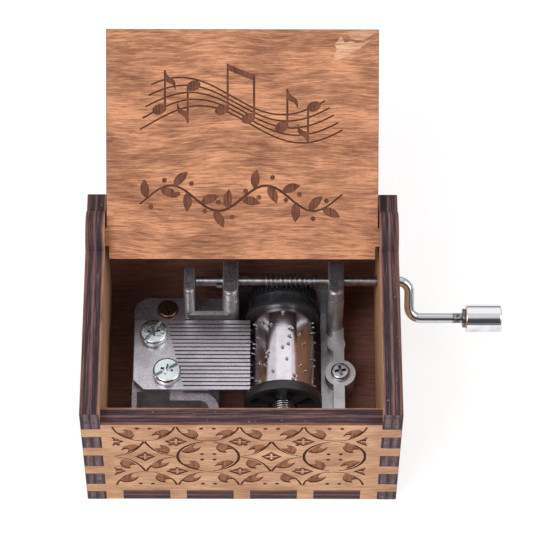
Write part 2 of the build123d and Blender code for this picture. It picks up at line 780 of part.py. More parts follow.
# ---------------------------------------------------------------- all sub-parts
def parts():
    return {
        "box_bottom": make_bottom(),
        "box_front": make_end_plate(-1, front_height),
        "box_back": make_end_plate(1, back_height),
        "box_side_left": make_side(-1),
        "box_side_right": make_side(1),
        "lid_panel": make_lid(),
        "bedplate": make_bedplate(),
        "comb": make_comb(),
        "comb_screws": make_comb_screws(),
        "comb_weights": make_comb_weights(),
        "comb_dampers": make_comb_dampers(),
        "bronze_wood_screw": wood_screw(*bronze_place, comb_bottom, bronze_head_r,
                                        bronze_head_height, bronze_turn),
        "zinc_wood_screw": wood_screw(*boss_place, rib_top, zinc_head_r, zinc_head_height, zinc_turn),
        "drum_shell": make_shell(),
        "drum_pins": make_pins(),
        "drum_end_cap": make_end_cap(),
        "drum_worm_gear": make_gear(),
        "drum_arbor": make_arbor(),
        "arbor_clip": make_clip(),
        "drum_spring": make_spring(),
        "crank_rod": make_crank(),
        "knob": make_knob(),
        "knob_bush": make_knob_bush(),
    }


os.makedirs("parts", exist_ok=True)
for name, shape in parts().items():
    group = Compound(shape) if isinstance(shape, list) else shape
    export_step(group, os.path.join("parts", name + ".step"))
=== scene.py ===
"""Looks of a hand-cranked music box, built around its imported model. Metres, +Z up."""
import json
import math

import bmesh
import bpy
import mathutils.geometry
import numpy as np
from mathutils import Matrix, Vector


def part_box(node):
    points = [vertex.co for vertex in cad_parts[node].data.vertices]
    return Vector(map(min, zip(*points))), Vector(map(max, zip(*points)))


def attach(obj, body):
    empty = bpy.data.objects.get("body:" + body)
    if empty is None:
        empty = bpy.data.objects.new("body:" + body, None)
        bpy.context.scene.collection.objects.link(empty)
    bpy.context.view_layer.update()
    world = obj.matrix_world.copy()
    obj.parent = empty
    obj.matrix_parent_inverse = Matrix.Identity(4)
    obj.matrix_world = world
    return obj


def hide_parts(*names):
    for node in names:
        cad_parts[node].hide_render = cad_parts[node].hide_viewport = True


MM = 0.001
X, Y, Z = Vector((1, 0, 0)), Vector((0, 1, 0)), Vector((0, 0, 1))

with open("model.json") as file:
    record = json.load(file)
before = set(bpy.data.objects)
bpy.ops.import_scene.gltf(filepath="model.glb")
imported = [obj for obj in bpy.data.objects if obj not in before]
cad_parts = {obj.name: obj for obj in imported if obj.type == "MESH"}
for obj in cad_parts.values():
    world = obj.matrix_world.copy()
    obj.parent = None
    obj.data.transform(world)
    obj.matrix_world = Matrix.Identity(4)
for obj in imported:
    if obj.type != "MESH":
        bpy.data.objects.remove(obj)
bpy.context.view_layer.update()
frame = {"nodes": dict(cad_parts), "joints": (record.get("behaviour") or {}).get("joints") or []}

# ---------------------------------------------------------------- sizes read from the frame
low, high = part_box("box_front")
PLY = high.y - low.y
HALF_WIDTH = high.x


# ---------------------------------------------------------------- node helpers
class Shader:
    """A material's node tree, with short calls for the nodes that the finishes share."""

    def __init__(self, name):
        self.material = bpy.data.materials.new(name)
        self.material.use_nodes = True
        self.tree = self.material.node_tree
        self.nodes = self.tree.nodes
        self.links = self.tree.links
        self.bsdf = self.nodes["Principled BSDF"]

    def link(self, source, target):
        self.links.new(source, target)
        return source

    def feed(self, socket, value):
        if isinstance(value, bpy.types.NodeSocket):
            self.links.new(value, socket)
        else:
            socket.default_value = value

    def paint(self, socket, colour):
        """Feeds a colour socket from another node, or with a colour written as sRGB from 0 to 255."""
        self.feed(socket, colour if isinstance(colour, bpy.types.NodeSocket) else as_rgba(colour))

    def place(self):
        return self.nodes.new("ShaderNodeTexCoord").outputs["Object"]

    def noise(self, vector, per_metre, detail, roughness, stretch=None):
        """Noise with about so many features to the metre. stretch multiplies that along each axis."""
        node = self.nodes.new("ShaderNodeTexNoise")
        self.feed(node.inputs["Vector"], self.scaled(vector, stretch) if stretch else vector)
        node.inputs["Scale"].default_value = per_metre
        node.inputs["Detail"].default_value = detail
        node.inputs["Roughness"].default_value = roughness
        return node.outputs["Fac"]

    def ramp(self, value, stops):
        node = self.nodes.new("ShaderNodeValToRGB")
        elements = node.color_ramp.elements
        while len(elements) < len(stops):
            elements.new(0.5)
        for element, (position, colour) in zip(elements, stops):
            element.position = position
            element.color = as_rgba(colour)
        self.feed(node.inputs["Fac"], value)
        return node.outputs["Color"]

    def mix(self, share, first, second):
        node = self.nodes.new("ShaderNodeMix")
        node.data_type = "RGBA"
        self.feed(node.inputs["Factor"], share)
        self.paint(node.inputs["A"], first)
        self.paint(node.inputs["B"], second)
        return node.outputs["Result"]

    def math(self, operation, first, second, third=0.0):
        node = self.nodes.new("ShaderNodeMath")
        node.operation = operation
        self.feed(node.inputs[0], first)
        self.feed(node.inputs[1], second)
        self.feed(node.inputs[2], third)
        return node.outputs[0]

    def share(self, most, value, start, end):
        """A mix's share, from 0 up to most as the value goes from start to end."""
        return self.math("MULTIPLY", self.step(value, start, end), most)

    def step(self, value, start, end):
        """0 below start, 1 above end, smooth between them; start may lie above end."""
        node = self.nodes.new("ShaderNodeMapRange")
        node.interpolation_type = "SMOOTHSTEP"
        self.feed(node.inputs["Value"], value)
        rising = start < end
        node.inputs["From Min"].default_value = start if rising else end
        node.inputs["From Max"].default_value = end if rising else start
        node.inputs["To Min"].default_value = 0.0 if rising else 1.0
        node.inputs["To Max"].default_value = 1.0 if rising else 0.0
        return node.outputs["Result"]

    def split(self, vector):
        node = self.nodes.new("ShaderNodeSeparateXYZ")
        self.links.new(vector, node.inputs[0])
        return node.outputs[0], node.outputs[1], node.outputs[2]

    def attribute(self, name):
        node = self.nodes.new("ShaderNodeAttribute")
        node.attribute_name = name
        return node.outputs["Fac"]

    def vector_attribute(self, name):
        node = self.nodes.new("ShaderNodeAttribute")
        node.attribute_name = name
        return node.outputs["Vector"]

    def scaled(self, vector, scale):
        node = self.nodes.new("ShaderNodeMapping")
        node.inputs["Scale"].default_value = scale
        self.links.new(vector, node.inputs["Vector"])
        return node.outputs["Vector"]

    def combined(self, x, y, z):
        node = self.nodes.new("ShaderNodeCombineXYZ")
        for socket, value in zip(node.inputs, (x, y, z)):
            self.feed(socket, value)
        return node.outputs[0]

    def bump(self, height, distance, strength):
        node = self.nodes.new("ShaderNodeBump")
        node.inputs["Distance"].default_value = distance
        node.inputs["Strength"].default_value = strength
        self.links.new(height, node.inputs["Height"])
        return node.outputs["Normal"]

    def recessed(self, reach):
        """1 in a recess that is narrower than reach, in millimetres, and 0 on an open face."""
        node = self.nodes.new("ShaderNodeAmbientOcclusion")
        node.samples = 6
        node.only_local = True
        node.inputs["Distance"].default_value = reach * MM
        return self.step(node.outputs["AO"], 0.9, 0.45)

    def surface(self, colour, roughness, metallic=0.0, normal=None, **others):
        self.paint(self.bsdf.inputs["Base Color"], colour)
        self.feed(self.bsdf.inputs["Roughness"], roughness)
        self.bsdf.inputs["Metallic"].default_value = metallic
        for name, value in others.items():
            self.bsdf.inputs[name.replace("_", " ")].default_value = value
        if normal is not None:
            self.links.new(normal, self.bsdf.inputs["Normal"])
        return self.material


def as_rgba(colour):
    """A colour written as sRGB from 0 to 255, in the linear values that Blender uses."""
    def linear(c):
        c = c / 255
        return c / 12.92 if c <= 0.04045 else ((c + 0.055) / 1.055) ** 2.4
    return (*(linear(c) for c in colour), 1.0)


def shaded(colour, factor):
    """The colour made darker, or with a factor over 1 lighter."""
    return tuple(min(255, c * factor) for c in colour)


# ---------------------------------------------------------------- finishes
SHADE_REACH = 0.9              # widest recess that is painted darker, as painted shade
HIGHLIGHT_FROM, HIGHLIGHT_TO = (0.8, 1.2), (2.4, 3.0)      # level faces painted lighter as a painted highlight, above the comb's underside
CRIMP = (2.2, 1.9)             # where the rod's worn crimp begins, before the knob's bush


def wood_face(name, light, dark, sway, patches):
    """A plate's face: short fine streaks along the grain, over broad lighter and darker patches.
    sway is how far the grain wanders sideways, in metres; patches is the broad part's share."""
    s = Shader(name)
    grain = s.vector_attribute("grain")
    wander = s.noise(grain, 60, 2, 0.5, (0.5, 1, 1))
    bent = s.nodes.new("ShaderNodeVectorMath")
    bent.operation = "MULTIPLY_ADD"
    s.link(s.combined(0.0, wander, 0.0), bent.inputs[0])
    bent.inputs[1].default_value = (0, sway, 0)
    s.link(grain, bent.inputs[2])
    along = bent.outputs[0]
    broad = s.noise(along, 110, 3, 0.55, (0.6, 1.6, 1.0))
    streaks = s.noise(along, 820, 5, 0.8, (0.2, 2.0, 1.0))
    fibres = s.noise(along, 1900, 3, 0.7, (0.14, 2.4, 1.0))
    tone = s.math("ADD", s.math("MULTIPLY", broad, patches), s.math("MULTIPLY", streaks, 1 - patches))
    middle = tuple((a + b) / 2 for a, b in zip(light, dark))
    face = s.ramp(tone, [(0.0, shaded(dark, 0.8)), (0.38, dark), (0.48, middle), (0.56, light),
                         (0.68, shaded(light, 1.13))])
    face = s.mix(s.share(0.5, fibres, 0.52, 0.64), face, shaded(dark, 0.8))
    face = s.mix(s.share(0.35, fibres, 0.48, 0.36), face, shaded(light, 1.12))
    relief = s.math("MULTIPLY_ADD", streaks, 0.6, fibres)
    return s.surface(face, s.math("MULTIPLY_ADD", fibres, 0.15, 0.6), 0.0, s.bump(relief, 0.00005, 0.6),
                     Specular_IOR_Level=0.3)


def wood_edge(name):
    """A laser-cut edge: five charred plies, the ones cut across their grain darkest, finely striated."""
    s = Shader(name)
    grain = s.vector_attribute("grain")
    depth = s.math("DIVIDE", s.split(grain)[2], -PLY)
    wander = s.noise(grain, 160, 3, 0.6, (1, 1, 0))
    depth = s.math("ADD", depth, s.math("MULTIPLY_ADD", wander, 0.1, -0.05))
    fine = s.noise(grain, 1900, 3, 0.6, (1, 1, 0.25))
    blotch = s.noise(grain, 330, 3, 0.6)
    long_cut = s.ramp(depth, [(0.0, (122, 82, 72)), (0.12, (104, 70, 64)), (0.19, (52, 34, 40)),
                              (0.41, (56, 37, 42)), (0.46, (116, 84, 82)), (0.53, (112, 80, 78)),
                              (0.59, (42, 31, 40)), (0.86, (40, 30, 38)), (0.92, (124, 86, 74)),
                              (1.0, (176, 132, 108))])
    smears = s.noise(grain, 420, 3, 0.6, (0.3, 0.3, 1.2))
    long_cut = s.mix(s.share(0.6, smears, 0.45, 0.68), long_cut, (52, 37, 43))
    end_cut = s.ramp(depth, [(0.0, (56, 41, 48)), (0.14, (56, 42, 50)), (0.22, (114, 95, 96)),
                             (0.38, (102, 84, 88)), (0.46, (52, 38, 47)), (0.56, (54, 40, 48)),
                             (0.66, (108, 90, 93)), (0.84, (114, 95, 97)), (0.92, (54, 40, 47)),
                             (1.0, (62, 44, 48))])
    end_cut = s.mix(s.share(0.7, fine, 0.48, 0.62), end_cut, (50, 38, 46))
    colour = s.mix(s.step(s.attribute("end_grain"), 0.4, 0.6), long_cut, end_cut)
    streaks = s.noise(grain, 2400, 3, 0.75, (0.05, 0.05, 2.0))
    colour = s.mix(s.share(0.5, streaks, 0.5, 0.66), colour, (142, 98, 88))
    colour = s.mix(s.share(0.6, streaks, 0.5, 0.38), colour, (40, 28, 34))
    specks = s.noise(grain, 1500, 2, 0.5)
    colour = s.mix(s.share(0.5, specks, 0.72, 0.77), colour, (190, 168, 158))
    return s.surface(colour, 0.7, 0.0, s.bump(s.math("ADD", streaks, blotch), 0.0001, 0.9),
                     Specular_IOR_Level=0.3)


def wood_burnt(name, colour, hatch):
    """The floor of an engraving: browned wood, with the laser's fine upright lines on a filled shape."""
    s = Shader(name)
    grain = s.vector_attribute("grain")
    lines = s.noise(grain, 2600, 2, 0.6, (1, 0.05, 0))
    blotch = s.noise(grain, 420, 3, 0.6)
    burnt = s.mix(s.step(blotch, 0.35, 0.7), colour, shaded(colour, 0.82))
    burnt = s.mix(s.share(hatch, lines, 0.5, 0.64), burnt, shaded(colour, 0.66))
    return s.surface(burnt, 0.8, 0.0, s.bump(lines, 0.00006, hatch), Specular_IOR_Level=0.2)


def metal(name, colour, roughness, grain=0.0, recess_shade=0.0, speckle=0.0):
    """Plated or drawn metal. The argument after grain is how dark its recesses are painted, as painted
    shade; speckle is how plainly it is dotted.
    """
    s = Shader(name)
    place = s.place()
    fine = s.noise(place, 900, 4, 0.6)
    coarse = s.noise(place, 160, 3, 0.5)
    tint = s.mix(s.step(coarse, 0.4, 0.7), colour, shaded(colour, 0.86))
    grit = s.noise(place, 4200, 2, 0.6)
    tint = s.mix(s.share(speckle, grit, 0.45, 0.65), tint, shaded(colour, 0.6))
    if recess_shade:
        # painted shade: recesses darkened towards a dark grey by ambient occlusion
        tint = s.mix(s.math("MULTIPLY", s.recessed(SHADE_REACH), recess_shade), tint, (52, 54, 56))
    rough = s.math("MULTIPLY_ADD", fine, 0.12, roughness - 0.06)
    height = s.math("MULTIPLY_ADD", coarse, 0.5, fine)
    return s.surface(tint, rough, 1.0, s.bump(height, 0.00004, grain))


def cast_metal(name, level, upright, bright, roughness):
    """Die-cast zinc with a grainy skin; level faces are stained. Faces are painted by which way they face,
    as painted light:
    level faces darker as painted shade, upright ones lighter, and the level ones above the comb's seat and
    to the right of the drum lighter again, as a painted highlight."""
    s = Shader(name)
    place = s.place()
    facing = s.split(s.nodes.new("ShaderNodeNewGeometry").outputs["True Normal"])[2]
    skin = s.noise(place, 420, 4, 0.65)
    stain = s.noise(place, 120, 3, 0.55)
    grit = s.noise(place, 3600, 3, 0.7)
    flat = s.mix(s.step(stain, 0.4, 0.65), level, shaded(level, 0.84))
    flat = s.mix(s.share(0.5, skin, 0.56, 0.7), flat, shaded(level, 1.3))
    comb_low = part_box("comb")[0]
    drum_low, drum_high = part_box("drum_shell")
    across, _, up = s.split(place)
    above_seat = s.step(up, *(comb_low.z + height * MM for height in HIGHLIGHT_FROM))
    below_tops = s.step(up, *(comb_low.z + height * MM for height in HIGHLIGHT_TO[::-1]))
    right_of_drum = s.step(across, drum_low.x, drum_high.x)
    lit = s.math("MULTIPLY", s.math("MAXIMUM", above_seat, right_of_drum), below_tops)
    # painted highlight: level faces above the comb's seat and right of the drum take the lighter colour
    flat = s.mix(lit, flat, s.mix(s.step(stain, 0.4, 0.7), bright, shaded(bright, 0.8)))
    sides = s.mix(s.step(skin, 0.4, 0.65), upright, shaded(upright, 0.85))
    # painted light: level faces take the darker colour and upright faces the lighter one, by which way they
    # face
    colour = s.mix(s.step(facing, 0.6, 0.95), sides, flat)
    colour = s.mix(s.share(0.4, grit, 0.54, 0.66), colour, (222, 220, 224))
    colour = s.mix(s.share(0.4, grit, 0.46, 0.34), colour, (70, 66, 70))
    height = s.math("MULTIPLY_ADD", grit, 0.4, skin)
    return s.surface(colour, s.math("MULTIPLY_ADD", skin, 0.2, roughness - 0.1), 0.75,
                     s.bump(height, 0.00005, 0.8))


def crank_metal():
    """Bright plating on the handle with a worn crimp before the knob. Inside the box wall the worm and the
    shaft are rougher, and their colour is painted darker, as painted shade of the box."""
    s = Shader("crank_chrome")
    place = s.place()
    across = s.split(place)[0]
    wall = s.step(across, HALF_WIDTH - PLY, HALF_WIDTH)
    fine = s.noise(place, 900, 4, 0.6)
    # painted shade: inside the box wall the rod's colour is darker
    colour = s.mix(wall, s.mix(s.step(fine, 0.4, 0.6), (186, 182, 186), (150, 146, 150)), (198, 199, 202))
    crimp_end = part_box("knob_bush")[0].x
    crimp = s.step(across, *(crimp_end - before * MM for before in CRIMP))
    worn = s.mix(s.step(s.noise(place, 1500, 3, 0.6), 0.45, 0.6), (150, 150, 152), (66, 65, 67))
    colour = s.mix(crimp, colour, worn)
    rough = s.math("MULTIPLY_ADD", wall, -0.2, s.math("MULTIPLY_ADD", fine, 0.08, 0.26))
    return s.surface(colour, rough, 1.0, s.bump(fine, 0.00004, 0.15))


def plastic(name, colour, roughness):
    s = Shader(name)
    place = s.place()
    fine = s.noise(place, 1400, 3, 0.6)
    rough = s.math("MULTIPLY_ADD", fine, 0.14, roughness - 0.07)
    return s.surface(colour, rough, 0.0, s.bump(fine, 0.00002, 0.6))


def assign(node, material):
    frame["nodes"][node].data.materials.clear()
    frame["nodes"][node].data.materials.append(material)


MERGE = 0.000002               # vertices of a CAD mesh that lie nearer together are one, in metres
SHARP = math.radians(30)


def rounded(node, width, segments=2):
    """Rounds a CAD node's sharp edges in the picture, with its own shape left as it is."""
    piece = frame["nodes"][node]
    weld = piece.modifiers.new("weld", "WELD")
    weld.merge_threshold = MERGE
    flat = piece.modifiers.new("flat", "DECIMATE")
    flat.decimate_type = "DISSOLVE"
    flat.angle_limit = math.radians(0.5)
    bevel = piece.modifiers.new("bevel", "BEVEL")
    bevel.width = width * MM
    bevel.segments = segments
    bevel.limit_method = "ANGLE"
    bevel.angle_limit = SHARP
    bevel.harden_normals = True


def finish_metal_parts():
    # colours: level faces painted as shade, upright faces painted lit, and a painted highlight
    assign("bedplate", cast_metal("cast_zinc", (132, 122, 131), (184, 183, 186), (200, 200, 203), 0.34))
    rounded("bedplate", 0.22, 3)
    assign("comb", metal("comb_steel", (206, 199, 207), 0.32, 0.3, speckle=0.5))
    rounded("comb", 0.04)
    assign("comb_screws", metal("bright_zinc", (212, 219, 222), 0.17, 0.8, recess_shade=0.6))
    rounded("comb_screws", 0.06)
    assign("zinc_wood_screw", metal("dull_zinc", (196, 190, 196), 0.2, 0.8, recess_shade=0.8))
    rounded("zinc_wood_screw", 0.06)
    assign("bronze_wood_screw", metal("bronze_plate", (122, 92, 76), 0.32, 0.9, recess_shade=0.7, speckle=0.3))
    rounded("bronze_wood_screw", 0.05)
    for node in ("drum_end_cap", "drum_worm_gear"):
        assign(node, plastic(node + "_plastic", (36, 35, 38), 0.34))
        rounded(node, 0.06)
    for node in ("drum_arbor", "arbor_clip", "comb_dampers"):
        assign(node, metal(node + "_steel", (205, 205, 208), 0.25, 0.2))
    assign("crank_rod", crank_metal())
    assign("comb_weights", metal("lead", (120, 120, 126), 0.6, 0.6))
    assign("knob", metal("knob_chrome", (232, 232, 236), 0.06, 0.03))
    rounded("knob", 0.12, 3)
    assign("knob_bush", metal("bush_chrome", (112, 111, 114), 0.24, 0.3))
    rounded("knob_bush", 0.1, 3)


finish_metal_parts()


# ---------------------------------------------------------------- drum and spring
DRUM_PITCH = 0.14              # spacing of the shell's mesh
SHELL_WALL = 0.7
DIMPLE_R = 0.62
DIMPLE_DEPTH = 0.09
PIN_SIDES = 12
PIN_FOOT = 0.3                 # a pin begins so far under the shell's surface
PIN_CROWN = ((0.35, 1.0), (0.1, 0.72), (0.0, 0.3))   # depth below the tip and radius, in pin radii
SPRING_PITCH = 0.52
SPRING_STEPS = 28              # points in each turn
SPRING_SIDES = 10
SPRING_WIRE_SHARE = 0.22 / 2.52                      # the wire's radius in the spring's


def new_piece(name, verts, faces, material, body):
    mesh = bpy.data.meshes.new(name)
    mesh.from_pydata(verts, [], faces)
    mesh.materials.append(material)
    mesh.shade_smooth()
    piece = bpy.data.objects.new(name, mesh)
    bpy.context.scene.collection.objects.link(piece)
    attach(piece, body)
    return piece


def solids_of(node):
    """The vertices of each separate solid of a node, as arrays."""
    work = bmesh.new()
    work.from_mesh(frame["nodes"][node].data)
    bmesh.ops.remove_doubles(work, verts=work.verts, dist=MERGE)
    left = set(work.verts)
    groups = []
    while left:
        stack = [left.pop()]
        group = []
        while stack:
            vertex = stack.pop()
            group.append(tuple(vertex.co))
            for edge in vertex.link_edges:
                other = edge.other_vert(vertex)
                if other in left:
                    left.remove(other)
                    stack.append(other)
        groups.append(np.array(group))
    work.free()
    return groups


def sleeve_metal():
    """Polished nickel with fine turning marks, and round each pin a ring that is rougher and painted
    darker, as painted shadow.
    """
    s = Shader("nickel_sleeve")
    place = s.place()
    marks = s.noise(place, 700, 3, 0.6, (0.3, 6, 0.3))
    cloud = s.noise(place, 260, 3, 0.55)
    seat = s.step(s.attribute("seat"), 0.25, 0.75)
    bright = s.mix(s.step(cloud, 0.4, 0.7), (226, 219, 225), (206, 198, 206))
    # painted shadow: the ring round each pin is darkened
    colour = s.mix(seat, bright, (104, 96, 102))
    rough = s.math("ADD", s.math("MULTIPLY_ADD", marks, 0.1, 0.1), s.math("MULTIPLY", seat, 0.2))
    return s.surface(colour, rough, 1.0, s.bump(marks, 0.00001, 0.5))


def make_drum():
    low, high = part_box("drum_shell")
    axis_x, axis_z = (low.x + high.x) / 2, (low.z + high.z) / 2
    radius = (high.x - low.x) / 2
    pins = []
    for solid in solids_of("drum_pins"):
        centre = solid.mean(axis=0)
        reach = np.hypot(solid[:, 0] - axis_x, solid[:, 2] - axis_z).max()
        pins.append((centre[1], math.atan2(centre[2] - axis_z, centre[0] - axis_x), reach,
                     (solid[:, 1].max() - solid[:, 1].min()) / 2))
    pins.sort()
    around = round(2 * math.pi * radius / MM / DRUM_PITCH)
    along = round((high.y - low.y) / MM / DRUM_PITCH)
    angles = np.arange(around) * 2 * math.pi / around
    heights = np.linspace(low.y, high.y, along + 1)
    grid_a, grid_y = np.meshgrid(angles, heights)
    depth = np.zeros_like(grid_a)
    seats = np.zeros_like(grid_a)
    for y, angle, _, _ in pins:
        turn = (grid_a - angle + math.pi) % (2 * math.pi) - math.pi
        away = np.hypot(turn * radius, grid_y - y) / (DIMPLE_R * MM)
        near = np.cos(np.minimum(away, 1) * math.pi / 2) ** 2
        depth += DIMPLE_DEPTH * MM * near
        seats = np.maximum(seats, near)
    r = radius - depth
    outer = np.stack([axis_x + r * np.cos(grid_a), grid_y, axis_z + r * np.sin(grid_a)], -1).reshape(-1, 3)
    inner_r = radius - SHELL_WALL * MM
    verts = [tuple(p) for p in outer]
    faces = []
    for j in range(along):
        for i in range(around):
            a, b = j * around + i, j * around + (i + 1) % around
            faces.append((a, b, b + around, a + around))
    inner = len(verts)
    for y in (low.y, high.y):
        verts += [(axis_x + inner_r * math.cos(a), y, axis_z + inner_r * math.sin(a)) for a in angles]
    for i in range(around):
        j = (i + 1) % around
        faces.append((inner + i, inner + j, j, i))
        last = along * around
        faces.append((last + i, last + j, inner + around + j, inner + around + i))
        faces.append((inner + around + i, inner + around + j, inner + j, inner + i))
    shell = new_piece("drum_sleeve", verts, faces, sleeve_metal(), "drum")
    # the seat attribute carries the ring round each pin that the sleeve paints as shadow
    seat = shell.data.attributes.new("seat", "FLOAT", "POINT")
    seat.data.foreach_set("value", [*seats.ravel(), *[0.0] * (2 * around)])
    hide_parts("drum_shell")
    make_pins(pins, axis_x, axis_z, radius)


def make_pins(pins, axis_x, axis_z, radius):
    verts, faces = [], []
    for y, angle, reach, r in pins:
        out = Vector((math.cos(angle), 0, math.sin(angle)))
        side = Vector((-out.z, 0, out.x))
        axis = Vector((axis_x, y, axis_z))
        rings = [(radius - PIN_FOOT * MM, r), *((reach - down * r, share * r) for down, share in PIN_CROWN)]
        first = len(verts)
        for distance, ring_r in rings:
            for i in range(PIN_SIDES):
                a = 2 * math.pi * i / PIN_SIDES
                verts.append(tuple(axis + out * distance
                                   + (side * math.cos(a) + Y * math.sin(a)) * ring_r))
        for ring in range(len(rings) - 1):
            for i in range(PIN_SIDES):
                a = first + ring * PIN_SIDES + i
                b = first + ring * PIN_SIDES + (i + 1) % PIN_SIDES
                faces.append((a, a + PIN_SIDES, b + PIN_SIDES, b))
        faces.append(tuple(first + i for i in range(PIN_SIDES)))
        top = first + (len(rings) - 1) * PIN_SIDES
        faces.append(tuple(top + PIN_SIDES - 1 - i for i in range(PIN_SIDES)))
    piece = new_piece("drum_pin_set", verts, faces, metal("pin_steel", (176, 172, 176), 0.3, 0.05),
                      "drum")
    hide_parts("drum_pins")


def make_spring():
    """The close-wound thrust spring between the drum's cap and the front bearing."""
    low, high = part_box("drum_spring")
    wire = (high.z - low.z) / 2 * SPRING_WIRE_SHARE
    radius = (high.x - low.x) / 2 - wire
    axis_x = high.x - wire - radius
    axis_z = (low.z + high.z) / 2
    length = high.y - low.y - 2 * wire
    turns = length / MM / SPRING_PITCH
    count = round(turns * SPRING_STEPS)
    sides = SPRING_SIDES
    verts, faces = [], []
    for i in range(count + 1):
        t = i / count
        a = 2 * math.pi * turns * t
        centre = Vector((axis_x + radius * math.cos(a), high.y - wire - length * t,
                         axis_z + radius * math.sin(a)))
        out = Vector((math.cos(a), 0, math.sin(a)))
        for k in range(sides):
            b = 2 * math.pi * k / sides
            verts.append(tuple(centre + (out * math.cos(b) + Y * math.sin(b)) * wire))
    for i in range(count):
        for k in range(sides):
            a = i * sides + k
            b = i * sides + (k + 1) % sides
            faces.append((a, b, b + sides, a + sides))
    faces.append(tuple(range(sides))[::-1])
    faces.append(tuple(count * sides + k for k in range(sides)))
    piece = new_piece("thrust_spring", verts, faces, metal("spring_wire", (196, 196, 200), 0.22, 0.1),
                      "drum")
    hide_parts("drum_spring")


# ---------------------------------------------------------------- plywood plates
# Each plate is laid out flat: u along the grain, v across it, both in millimetres, w out of its shown face.
CHAMFER = 0.09
LEAF_DEPTH = 0.24
LINE_DEPTH = 0.3
PATCH_DEPTH = 0.05
LONGEST_ARC_STEP = 1.6         # a rounded outline's steps are shorter than this
ON_FACE = 1e-5                 # a CAD vertex so near w = 0 lies on the face, in metres
STRAIGHT = 1e-4                # a corner that turns by less, in radians, is dropped
WELD_DIGITS = 5                # a plate's points are told apart by so many decimals
FACE, EDGE, LEAF, LINE, PATCH, REAR = range(6)
LEVELS = {"patch": PATCH, "line": LINE, "leaf": LEAF, "island": FACE}
DEPTHS = {FACE: 0.0, LEAF: LEAF_DEPTH, LINE: LINE_DEPTH, PATCH: PATCH_DEPTH}


def plate_loops(node, place):
    """The outline loops of the face of a CAD plate that lies at w = 0, counter-clockwise round the wood."""
    mesh = frame["nodes"][node].data
    mesh.calc_loop_triangles()
    flat = place.inverted()
    points = [flat @ v.co for v in mesh.vertices]
    edges = {}
    spot = {}
    for triangle in mesh.loop_triangles:
        corners = [points[i] for i in triangle.vertices]
        if max(abs(c.z) for c in corners) > ON_FACE:
            continue
        keys = [(round(c.x * 1e6), round(c.y * 1e6)) for c in corners]
        for key, c in zip(keys, corners):
            spot[key] = (c.x / MM, c.y / MM)
        area = (corners[1] - corners[0]).cross(corners[2] - corners[0]).z
        order = keys if area > 0 else keys[::-1]
        for first, second in zip(order, order[1:] + order[:1]):
            edges[(first, second)] = edges.get((first, second), 0) + 1
    border = {a: b for a, b in edges if (b, a) not in edges}
    loops = []
    while border:
        start, here = border.popitem()
        loop = [spot[start]]
        while here != start:
            loop.append(spot[here])
            here = border.pop(here)
        loops.append(without_straights(loop))
    return sorted(loops, key=lambda loop: -abs(signed_area(loop)))


def without_straights(loop):
    """The loop without the points that lie on a straight run."""
    kept = []
    for before, here, after in zip(loop[-1:] + loop[:-1], loop, loop[1:] + loop[:1]):
        turn = Vector(here) - Vector(before)
        onward = Vector(after) - Vector(here)
        if abs(turn.cross(onward)) > STRAIGHT * turn.length * onward.length:
            kept.append(here)
    return kept


def signed_area(loop):
    return sum(a[0] * b[1] - b[0] * a[1] for a, b in zip(loop, loop[1:] + loop[:1])) / 2


def inset(loop, distance):
    """The loop moved to its left by a distance, corner by corner."""
    moved = []
    for before, here, after in zip(loop[-1:] + loop[:-1], loop, loop[1:] + loop[:1]):
        a = (Vector(here) - Vector(before)).normalized()
        b = (Vector(after) - Vector(here)).normalized()
        left_a, left_b = Vector((-a.y, a.x)), Vector((-b.y, b.x))
        shift = (left_a + left_b) / (1 + left_a.dot(left_b))
        moved.append(tuple(Vector(here) + shift * distance))
    return moved


def face_pattern(loops, shapes):
    """Triangles that fill the loops, each with its level. Where shapes overlap, the later kind in LEVELS
    wins."""
    points, faces, kinds = [], [], []
    for kind, shape in [("wood", loop) for loop in loops] + shapes:
        if signed_area(shape) < 0:
            shape = shape[::-1]
        first = len(points)
        points += [Vector(p) for p in shape]
        faces.append(list(range(first, len(points))))
        kinds.append(kind)
    kinds[1:len(loops)] = ["hole"] * (len(loops) - 1)
    found = mathutils.geometry.delaunay_2d_cdt(points, [], faces, 0, 1e-5)
    triangles = []
    for corners, sources in zip(found[2], found[5]):
        inside = {kinds[i] for i in sources}
        if "wood" not in inside or "hole" in inside:
            continue
        level = FACE
        for kind, kind_level in LEVELS.items():
            if kind in inside:
                level = kind_level
        triangles.append((list(corners), level))
    return [tuple(p) for p in found[0]], triangles


